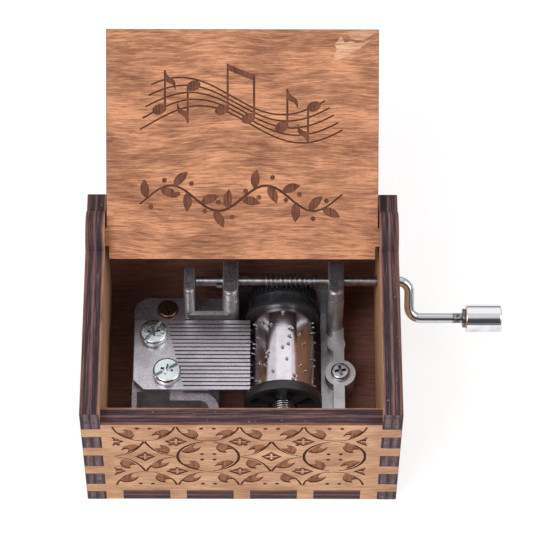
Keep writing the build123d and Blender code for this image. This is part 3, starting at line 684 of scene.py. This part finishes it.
class PlateMesh:
    """Gathers a plate's faces, with the grain coordinates that its finishes read."""

    def __init__(self, offset):
        self.verts, self.grain, self.faces, self.slots, self.ends = [], [], [], [], []
        self.known = {}
        self.offset = offset

    def vertex(self, u, v, w):
        key = tuple(round(c, WELD_DIGITS) for c in (u, v, w))
        if key not in self.known:
            self.known[key] = len(self.verts)
            self.verts.append((u * MM, v * MM, w * MM))
            self.grain.append(((u + self.offset[0]) * MM, (v + self.offset[1]) * MM, w * MM))
        return self.known[key]

    def face(self, corners, slot, straight=False):
        ids = [self.vertex(*c) for c in corners]
        if len(set(ids)) < 3:
            return
        a, b, c = (Vector(corners[i]) for i in (0, 1, 2))
        normal = (b - a).cross(c - b)
        self.faces.append(ids)
        self.slots.append(slot)
        self.ends.append(abs(normal.x) / max(normal.length, 1e-9) if straight else 0.0)

    def pattern(self, loops, shapes, top, out):
        """A face at height top. out is 1 for the shown face and -1 for the back one."""
        points, triangles = face_pattern(loops, shapes)
        heights = {}
        for corners, level in triangles:
            w = top - out * DEPTHS[level]
            ring = [(*points[i], w) for i in corners]
            self.face(ring if out > 0 else ring[::-1], level if out > 0 else REAR)
            for a, b in zip(corners, corners[1:] + corners[:1]):
                heights[(a, b)] = w
        for (a, b), w in heights.items():
            other = heights.get((b, a), w)
            if other < w - 1e-6:
                low_a, low_b = (*points[a], other), (*points[b], other)
                self.face([(*points[b], w), (*points[a], w), low_a, low_b], LINE)

    def rim(self, loop):
        """The cut edge along a loop, with a small chamfer at both faces."""
        small = inset(loop, CHAMFER)
        back = -PLY / MM
        rings = [[(*p, 0.0) for p in small], [(*p, -CHAMFER) for p in loop],
                 [(*p, back + CHAMFER) for p in loop], [(*p, back) for p in small]]
        for upper, lower in zip(rings, rings[1:]):
            count = len(upper)
            for i in range(count):
                j = (i + 1) % count
                straight = math.dist(loop[i], loop[j]) > LONGEST_ARC_STEP
                self.face([upper[j], upper[i], lower[i], lower[j]], EDGE, straight)
        return small

    def build(self, name, place, materials):
        mesh = bpy.data.meshes.new(name)
        mesh.from_pydata(self.verts, [], self.faces)
        mesh.polygons.foreach_set("material_index", self.slots)
        grain = mesh.attributes.new("grain", "FLOAT_VECTOR", "POINT")
        grain.data.foreach_set("vector", [c for p in self.grain for c in p])
        ends = mesh.attributes.new("end_grain", "FLOAT", "FACE")
        ends.data.foreach_set("value", self.ends)
        mesh.transform(place)
        for material in materials:
            mesh.materials.append(material)
        mesh.update()
        plate = bpy.data.objects.new(name, mesh)
        bpy.context.scene.collection.objects.link(plate)
        return plate


def make_plate(node, name, body, place, face, rear_face, shapes=(), leaf_floor=None):
    """Builds a plate over its CAD node. Each plate takes its grain from a place of its own."""
    loops = plate_loops(node, place)
    seed = sum(ord(c) for c in node)
    plate = PlateMesh((seed % 17 * 31.0, seed % 23 * 17.0))
    small = [plate.rim(loop) for loop in loops]
    plate.pattern(small, list(shapes), 0.0, 1)
    plate.pattern(small, [], -PLY / MM, -1)
    finishes = [face, CUT_EDGE, leaf_floor or LEAF_FLOOR, LINE_FLOOR, TORN_FACE, rear_face]
    piece = plate.build(name, place, finishes)
    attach(piece, body)
    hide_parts(node)
    return piece


def flat_on(x_axis, y_axis, origin):
    """The placing of a plate whose u and v run along two axes, from its origin on the shown face."""
    u, v = Vector(x_axis), Vector(y_axis)
    turn = Matrix((u, v, u.cross(v))).transposed().to_4x4()
    return Matrix.Translation(origin) @ turn


# ---------------------------------------------------------------- outlines of engraved shapes
def smooth(points, steps=5):
    """A rounded line through the points."""
    line = []
    ends = [points[0], *points, points[-1]]
    for a, b, c, d in zip(ends, ends[1:], ends[2:], ends[3:]):
        a, b, c, d = Vector(a), Vector(b), Vector(c), Vector(d)
        for i in range(steps):
            t = i / steps
            line.append(tuple(b + ((c - a) * t + (2 * a - 5 * b + 4 * c - d) * t * t
                                   + (3 * b - a - 3 * c + d) * t ** 3) / 2))
    return line + [tuple(points[-1])]


def outline(*arcs):
    """A closed shape of rounded stretches that meet in sharp corners."""
    return [p for arc in arcs for p in smooth(arc)[:-1]]


def ribbon(line, start_width, end_width, middle_width=None):
    """The outline of a stroke whose width changes along it."""
    left, right = [], []
    for i, here in enumerate(line):
        t = i / (len(line) - 1)
        width = start_width + (end_width - start_width) * t
        if middle_width is not None:
            width += (middle_width - (start_width + end_width) / 2) * math.sin(math.pi * t)
        way = (Vector(line[min(i + 1, len(line) - 1)]) - Vector(line[max(i - 1, 0)])).normalized()
        side = Vector((-way.y, way.x)) * width / 2
        left.append(tuple(Vector(here) + side))
        right.append(tuple(Vector(here) - side))
    return left + right[::-1]


def moved(shape, u, v, turn=0.0, size=1.0, flip=1):
    c, s = math.cos(turn) * size, math.sin(turn) * size
    return [(u + flip * x * c - y * s, v + flip * x * s + y * c) for x, y in shape]


def disc(u, v, r, squeeze=1.0, turn=0.0, count=16):
    ring = [(r * math.cos(2 * math.pi * i / count), squeeze * r * math.sin(2 * math.pi * i / count))
            for i in range(count)]
    return moved(ring, u, v, turn)


# ---------------------------------------------------------------- scroll pattern of the walls
PATTERN_PITCH = 12.77          # from one cusp column to the next
PATTERN_LEFT = -25.9
PATTERN_RIGHT = 25.2
PATTERN_MIDDLE = 18.75         # height of the middle row
SWAG_TOP = 12.35               # cusps above and below the middle row
SWAG_DROP = 5.75
DIAMOND_HALF = (6.1, 6.3)
OVAL_HALF = (6.2, 6.15)
DOT_R = 0.42
SWAG_STROKE = (0.42, 0.16)     # widths of a stroke at its start and end
DIAMOND_STROKE = (0.5, 0.16)
OVAL_STROKE = (0.18, 0.18, 0.58)                     # the third is its middle's
OVAL_ARC = np.linspace(-1.42, 1.42, 25)
STAR_BAR = 0.22                # half a cross's width
STAR_DROP = 6.0                # from the cusps to the star between the leaves
HIGH_STAR, LOW_STAR, MIDDLE_STAR = (2.35, 1.9), (2.35, 1.75), (2.1, 2.0)
# Rows of dots: how far aside of the column's middle, and their heights over the middle row.
EDGE_DOTS = (1.25, (11.7, -11.8))
DIAMOND_DOTS = (5.2, (5.0, -5.5))
OVAL_DOTS = (1.25, (1.05, -1.3))

BUD = outline([(-1.73, 0.62), (-1.06, 0.45), (-0.4, 0.7), (-0.22, 1.15), (-0.53, 1.95)],
              [(-0.53, 1.95), (0.35, 1.9), (1.15, 1.34), (1.68, -0.2), (1.16, -1.94)],
              [(1.16, -1.94), (0.22, -1.6), (-0.83, -0.72), (-1.73, 0.62)])
CURL = outline([(-2.01, -0.78), (-1.35, 0.79), (-0.24, 1.7), (0.99, 1.93), (2.06, 1.22)],
               [(2.06, 1.22), (1.07, -0.2), (0.09, -1.2), (-0.89, -1.92)],
               [(-0.89, -1.92), (-0.42, -0.95), (-0.57, -0.21), (-1.25, -0.3), (-2.01, -0.78)])


# Leaves round a point: shape, place, turn and size.
SWAG_LEAVES = ((BUD, 2.85, -3.0, 0, 1), (CURL, -2.9, -3.0, 0, 1))
FOOT_LEAVES = ((BUD, -2.85, 3.0, math.pi, 1), (CURL, 2.9, 3.0, math.pi, 1))
DIAMOND_LEAVES = ((BUD, 3.5, 2.95, 0, 0.95), (CURL, -2.9, 3.25, 0, 0.95),
                  (BUD, -3.5, -3.15, math.pi, 1), (CURL, 2.9, -3.15, math.pi, 1))
OVAL_LEAVES = ((CURL, -3.4, 3.35, math.pi, 1), (BUD, -3.4, -3.75, 0, 1),
               (BUD, 3.3, 3.55, math.pi, 1), (CURL, 3.2, -3.55, 0, 1))


def turned(shape, u, v):
    return moved(shape, u, v, math.pi)


def leaves(table, u, v):
    return [("leaf", moved(shape, u + du, v + dv, turn, size)) for shape, du, dv, turn, size in table]


def dots(rows, u):
    aside, heights = rows
    return [("leaf", disc(u + side * aside, PATTERN_MIDDLE + height, DOT_R))
            for side in (-1, 1) for height in heights]


def strokes(line, widths, u, high, low):
    """A stroke to each side of u from its upper end, and the same again upside down from its lower end."""
    shapes = []
    for side in (-1, 1):
        stroke = ribbon([(side * x, y) for x, y in line], *widths)
        shapes += [("line", moved(stroke, u, high)), ("line", turned(stroke, u, low))]
    return shapes


def swag_line():
    """Half a swag, from a cusp to its lowest point."""
    half = PATTERN_PITCH / 2
    return smooth([(0.2, 0.0), (0.75, -1.75), (1.9, -3.6), (3.0, -4.6), (4.6, -5.5), (half, -SWAG_DROP)])


def diamond_line():
    """A diamond's upper right side, from its top corner to its side corner."""
    across, up = DIAMOND_HALF
    return smooth([(0.1, up), (1.1, up - 2.35), (2.2, up - 3.95), (3.5, up - 5.15), (across, 0.12)])


def star(u, v, across, up):
    """A small dark diamond with a light cross in it."""
    bar = STAR_BAR
    shape = [(u - across, v), (u, v - up), (u + across, v), (u, v + up)]
    level, upright = across * 0.55, up * 0.62
    cross = [(-bar, -upright), (bar, -upright), (bar, -bar), (level, -bar), (level, bar), (bar, bar),
             (bar, upright), (-bar, upright), (-bar, bar), (-level, bar), (-level, -bar), (-bar, -bar)]
    return [("leaf", shape), ("island", moved(cross, u, v))]


def clipped(shape):
    """The shape without what lies past the pattern's left and right ends."""
    for limit, keep in ((PATTERN_LEFT, 1), (PATTERN_RIGHT, -1)):
        result = []
        for a, b in zip(shape, shape[1:] + shape[:1]):
            inside_a, inside_b = keep * (a[0] - limit) >= 0, keep * (b[0] - limit) >= 0
            if inside_a:
                result.append(a)
            if inside_a != inside_b:
                t = (limit - a[0]) / (b[0] - a[0])
                result.append((limit, a[1] + t * (b[1] - a[1])))
        shape = result
    return shape


def scroll_pattern():
    """The front's engraving: cusp columns with leaves and stars, and diamonds and ovals between them."""
    shapes = []
    top, bottom = PATTERN_MIDDLE + SWAG_TOP, PATTERN_MIDDLE - SWAG_TOP
    for column in range(5):
        u = PATTERN_LEFT + column * PATTERN_PITCH
        shapes += strokes(swag_line(), SWAG_STROKE, u, top, bottom)
        shapes += leaves(SWAG_LEAVES, u, top) + leaves(FOOT_LEAVES, u, bottom)
        shapes += star(u, top - STAR_DROP, *HIGH_STAR) + star(u, bottom + STAR_DROP, *LOW_STAR)
    for column in range(4):
        u = PATTERN_LEFT + (column + 0.5) * PATTERN_PITCH
        shapes += dots(EDGE_DOTS, u)
        shapes += diamond(u) if column % 2 == 0 else oval(u)
    shapes = [(kind, clipped(shape)) for kind, shape in shapes]
    return [(kind, shape) for kind, shape in shapes if len(shape) > 2]


def diamond(u):
    return [*strokes(diamond_line(), DIAMOND_STROKE, u, PATTERN_MIDDLE, PATTERN_MIDDLE),
            *dots(DIAMOND_DOTS, u), *leaves(DIAMOND_LEAVES, u, PATTERN_MIDDLE),
            *star(u, PATTERN_MIDDLE, *MIDDLE_STAR)]


def oval(u):
    across, up = OVAL_HALF
    arc = ribbon([(-across * math.cos(a), up * math.sin(a)) for a in OVAL_ARC], *OVAL_STROKE)
    return [("line", moved(arc, u, PATTERN_MIDDLE)), ("line", turned(arc, u, PATTERN_MIDDLE)),
            *leaves(OVAL_LEAVES, u, PATTERN_MIDDLE), *dots(OVAL_DOTS, u)]


# ---------------------------------------------------------------- design on the lid
STAVE_LINES = 5
STAVE_GAP = 2.0
STAVE_LEFT = -21.0
STAVE_RIGHT = 20.5
STAVE_HEIGHT = 26.0
STAVE_WAVE = 3.6
STAVE_TUCK = 0.28              # share by which the lines draw together in the wave
LINE_STARTS, LINE_ENDS = 0.6, 0.9                    # each line is so much shorter than the one below
LID_LINE = 0.32
NOTE_HEAD = 1.45
HEAD_SQUEEZE = 0.72
HEAD_TILT = 0.35
HEAD_SIDES = 22
STEM_ASIDE = 1.18
STEM_UP = 0.2
STEM_WIDTH = 0.42
FLAG_SIZE = 1.35
BEAM = 1.2
BEAM_FALL = 0.6
GARLAND_HEIGHT = 8.0
GARLAND_WAVE = 2.6
GARLAND_BEND = 3.1             # length of one radian of the garland's wave
GARLAND_STROKE = (0.3, 0.3, 0.5)
LEAF_SPREAD = 0.95             # angle between a leaf and the stem
LEAF_SIZE = 1.2
BERRY_R = 0.5
BERRY_PLACE = (0.9, 1.7)       # along from a leaf's foot, and out on the other side

SPRIG_LEAF = outline([(0, 0), (0.9, 0.75), (2.2, 0.85), (3.4, 0.1)],
                     [(3.4, 0.1), (2.2, -0.5), (0.9, -0.55), (0, 0)])
NOTE_FLAG = outline([(0, 0), (0.5, -0.9), (1.5, -1.7), (1.6, -3.1)],
                    [(1.6, -3.1), (1.1, -2.2), (0.3, -1.8), (0, -1.5)])
# Notes: place along the stave, line from the lowest, and stem.
NOTES_BEFORE = ((-17.0, 1, 8.0), (-10.0, 3, -7.6))
BEAMED = (-4.2, 5.4, 0, 9.4)   # the first note's place, the step to the second, line and stem
NOTES_AFTER = ((8.0, 2, 7.8), (14.6, 4, -7.6))

# A flake of the face veneer is torn off near the lid's upper right corner.
TEAR = [(18.3, 35.8), (19.2, 38.6), (18.8, 39.4), (20.1, 41.2), (20.9, 39.8), (22.1, 40.2), (23.2, 39.8),
        (24.9, 39.9), (26.9, 40.9), (23.9, 38.6), (21.0, 36.9)]
TEAR_CORNER = [(21.6, 42.2), (21.4, 41.4), (22.2, 40.6), (23.3, 40.3), (24.9, 40.5), (26.7, 41.6),
               (27.3, 42.2)]


def stave_height(u, line):
    turn = 2 * math.pi * (u - STAVE_LEFT) / (STAVE_RIGHT - STAVE_LEFT)
    squeeze = 1 - STAVE_TUCK + STAVE_TUCK * math.cos(turn)
    return STAVE_HEIGHT + STAVE_WAVE * math.sin(turn) + (line - 2) * STAVE_GAP * squeeze


def note(u, line, stem, flagged=True):
    v = stave_height(u, line)
    way = 1 if stem > 0 else -1
    foot = (u + way * STEM_ASIDE, v + way * STEM_UP)
    top = (foot[0], v + stem)
    shapes = [("leaf", disc(u, v, NOTE_HEAD, HEAD_SQUEEZE, HEAD_TILT, HEAD_SIDES)),
              ("leaf", ribbon([foot, top], STEM_WIDTH, STEM_WIDTH))]
    if flagged:
        flag = moved(NOTE_FLAG, 0, 0, 0, FLAG_SIZE)
        shapes.append(("leaf", moved(flag, *top) if stem > 0 else turned(flag, *top)))
    return shapes


def beamed_pair(u, step, line, stem):
    second = u + step
    shapes = note(u, line, stem, False) + note(second, line + 1, stem - BEAM_FALL, False)
    left = (u + STEM_ASIDE - STEM_WIDTH / 2, stave_height(u, line) + stem)
    right = (second + STEM_ASIDE + STEM_WIDTH / 2, stave_height(second, line + 1) + stem - BEAM_FALL)
    return shapes + [("leaf", [left, right, (right[0], right[1] - BEAM), (left[0], left[1] - BEAM)])]


def garland():
    span = np.linspace(STAVE_LEFT, STAVE_RIGHT, 61)
    stem = [(u, GARLAND_HEIGHT + GARLAND_WAVE * math.sin(u / GARLAND_BEND)) for u in span]
    shapes = [("line", ribbon(stem, *GARLAND_STROKE))]
    for count, i in enumerate(range(2, 58, 4)):
        (u0, v0), (u1, v1) = stem[i], stem[i + 1]
        way = math.atan2(v1 - v0, u1 - u0)
        side = (-1) ** count
        shapes.append(("leaf", moved(SPRIG_LEAF, u0, v0, way + side * LEAF_SPREAD, LEAF_SIZE)))
        shapes.append(("leaf", disc(u0 + BERRY_PLACE[0], v0 - side * BERRY_PLACE[1], BERRY_R)))
    return shapes


def lid_design():
    """A wavy stave with a few notes, over a garland of leaves."""
    shapes = []
    for i in range(STAVE_LINES):
        span = np.linspace(STAVE_LEFT + LINE_STARTS * i, STAVE_RIGHT - LINE_ENDS * i, 49)
        shapes.append(("line", ribbon([(u, stave_height(u, i)) for u in span], LID_LINE, LID_LINE)))
    for place in NOTES_BEFORE:
        shapes += note(*place)
    shapes += beamed_pair(*BEAMED)
    for place in NOTES_AFTER:
        shapes += note(*place)
    return shapes + garland() + [("patch", TEAR), ("patch", TEAR_CORNER)]


# ---------------------------------------------------------------- the plates themselves
CUT_EDGE = wood_edge("cut_edge")
LEAF_FLOOR = wood_burnt("engraved_leaf", (160, 104, 78), 0.9)
LINE_FLOOR = wood_burnt("engraved_line", (100, 60, 46), 0.3)
LID_LEAF_FLOOR = wood_burnt("lid_engraved_leaf", (124, 76, 58), 0.9)
WALL_FACE = wood_face("wall_wood", (205, 159, 124), (160, 114, 86), 0.0015, 0.5)
INNER_FACE = wood_face("inner_wood", (196, 152, 118), (158, 114, 86), 0.002, 0.35)
# the back plate's inner face: wood painted darker, as painted shade
DARK_FACE = wood_face("shaded_wood", (150, 108, 92), (112, 76, 64), 0.001, 0.35)
LID_FACE = wood_face("lid_wood", (197, 138, 102), (118, 73, 52), 0.005, 0.45)
TORN_FACE = wood_face("torn_veneer", (206, 160, 128), (170, 124, 96), 0.002, 0.35)
FLOOR_FACE = wood_face("floor_wood", (122, 80, 70), (92, 58, 51), 0.001, 0.35)


def make_box():
    front_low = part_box("box_front")[0]
    back_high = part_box("box_back")[1]
    side_low, side_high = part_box("box_side_left")[0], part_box("box_side_right")[1]
    bottom_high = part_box("box_bottom")[1]
    make_plate("box_front", "front_plate", "case", flat_on(X, Z, (0, front_low.y, 0)), WALL_FACE,
               INNER_FACE, scroll_pattern())
    make_plate("box_back", "back_plate", "case", flat_on(-X, Z, (0, back_high.y, 0)), WALL_FACE,
               DARK_FACE)
    make_plate("box_side_left", "left_plate", "case", flat_on(-Y, Z, (side_low.x, 0, 0)), WALL_FACE,
               INNER_FACE)
    make_plate("box_side_right", "right_plate", "case", flat_on(Y, Z, (side_high.x, 0, 0)), WALL_FACE,
               INNER_FACE)
    make_plate("box_bottom", "bottom_plate", "case", flat_on(X, Y, (0, 0, bottom_high.z)), FLOOR_FACE,
               WALL_FACE)


def make_lid():
    hinge = next(j for j in frame["joints"] if j["name"] == "lid_hinge")
    lean = math.radians(180 - hinge["range_deg"][1])
    up = Vector((0, math.cos(lean), math.sin(lean)))
    out = X.cross(up)
    origin = Vector(hinge["pos_m"]) + out * PLY / 2
    make_plate("lid_panel", "lid_plate", "lid", flat_on(X, up, origin), LID_FACE, LID_FACE,
               lid_design(), LID_LEAF_FLOOR)


make_box()
make_lid()
make_drum()
make_spring()


# ---------------------------------------------------------------- stage, light and camera
FLOOR_REACH = 3.0
FLOOR_GLOW = 0.72              # what makes the floor white in the picture, over its shadowed colour
LAMP_AIM = (0, 0, 0.02)
LAMPS = (("key", (-0.3, -0.3, 0.62), 0.4, 2.5),      # name, place, size and watts
         ("front", (-0.42, -0.62, 0.42), 0.3, 1.15),
         ("overhead", (0.05, 0.5, 0.75), 0.8, 0.6),
         ("fill", (0.5, -0.2, 0.5), 0.4, 1.4))
FOCAL_LENGTH = 190.14
SENSOR = 36.0
CAMERA_PLACE = (0.00284, -0.2982, 0.5287)
CAMERA_AIM = (0.0049, 0.5275, -0.8496)
CAMERA_ROLL = 0.567


def make_stage():
    """A floor that looks white to the camera and in metal, and still takes the object's shadow."""
    r = FLOOR_REACH
    mesh = bpy.data.meshes.new("floor")
    mesh.from_pydata([(-r, -r, 0), (r, -r, 0), (r, r, 0), (-r, r, 0)], [], [(0, 1, 2, 3)])
    floor = bpy.data.objects.new("floor", mesh)
    bpy.context.scene.collection.objects.link(floor)
    s = Shader("floor")
    ray = s.nodes.new("ShaderNodeLightPath").outputs
    seen = s.math("MAXIMUM", ray["Is Camera Ray"], s.math("MAXIMUM", ray["Is Glossy Ray"],
                                                         ray["Is Transmission Ray"]))
    mesh.materials.append(s.surface(s.mix(seen, (245, 245, 245), (150, 149, 149)), 0.9))
    s.bsdf.inputs["Emission Color"].default_value = (1, 1, 1, 1)
    s.link(s.math("MULTIPLY", seen, FLOOR_GLOW), s.bsdf.inputs["Emission Strength"])


def make_light(name, place, size, power):
    data = bpy.data.lights.new(name, "AREA")
    data.size = size
    data.energy = power
    light = bpy.data.objects.new(name, data)
    light.location = place
    light.rotation_euler = (Vector(LAMP_AIM) - Vector(place)).to_track_quat("-Z", "Y").to_euler()
    bpy.context.scene.collection.objects.link(light)


def make_world():
    """Soft light, strong overhead and weak towards the horizon, with a dark stretch in front that gives
    polished metal its dark line."""
    world = bpy.data.worlds.new("studio")
    world.use_nodes = True
    nodes, links = world.node_tree.nodes, world.node_tree.links
    split = nodes.new("ShaderNodeSeparateXYZ")
    links.new(nodes.new("ShaderNodeTexCoord").outputs["Generated"], split.inputs[0])

    def graded(axis, start, end, low, high):
        node = nodes.new("ShaderNodeMapRange")
        node.interpolation_type = "SMOOTHSTEP"
        links.new(split.outputs[axis], node.inputs["Value"])
        for socket, value in zip(("From Min", "From Max", "To Min", "To Max"), (start, end, low, high)):
            node.inputs[socket].default_value = value
        return node.outputs["Result"]

    def joined(operation, first, second):
        node = nodes.new("ShaderNodeMath")
        node.operation = operation
        links.new(first, node.inputs[0])
        links.new(second, node.inputs[1])
        return node.outputs[0]

    glow = graded(2, 0.05, 0.5, 0.18, 0.8)
    beside = joined("MAXIMUM", graded(0, 0.3, 0.5, 0.0, 1.0), graded(0, -0.5, -0.3, 1.0, 0.0))
    away_from_front = joined("MAXIMUM", graded(1, -0.75, -0.3, 0.0, 1.0), beside)
    above_band = graded(2, 0.78, 0.92, 0.1, 1.0)
    below_band = graded(2, 0.2, 0.32, 1.0, 0.0)
    band = joined("MAXIMUM", away_from_front, joined("MAXIMUM", above_band, below_band))
    links.new(joined("MULTIPLY", glow, band), nodes["Background"].inputs["Strength"])
    nodes["Background"].inputs["Color"].default_value = (1, 1, 1, 1)
    bpy.context.scene.world = world


def make_camera():
    data = bpy.data.cameras.new("camera")
    data.lens = FOCAL_LENGTH
    data.sensor_width = SENSOR
    data.clip_start = 0.01
    camera = bpy.data.objects.new("camera", data)
    turn = Vector(CAMERA_AIM).to_track_quat("-Z", "Y")
    camera.rotation_mode = "QUATERNION"
    camera.rotation_quaternion = turn @ Matrix.Rotation(math.radians(CAMERA_ROLL), 4, "Z").to_quaternion()
    camera.location = CAMERA_PLACE
    bpy.context.scene.collection.objects.link(camera)
    bpy.context.scene.camera = camera


make_stage()
make_world()
for lamp in LAMPS:
    make_light(*lamp)
make_camera()
bpy.context.scene.view_settings.view_transform = "Standard"
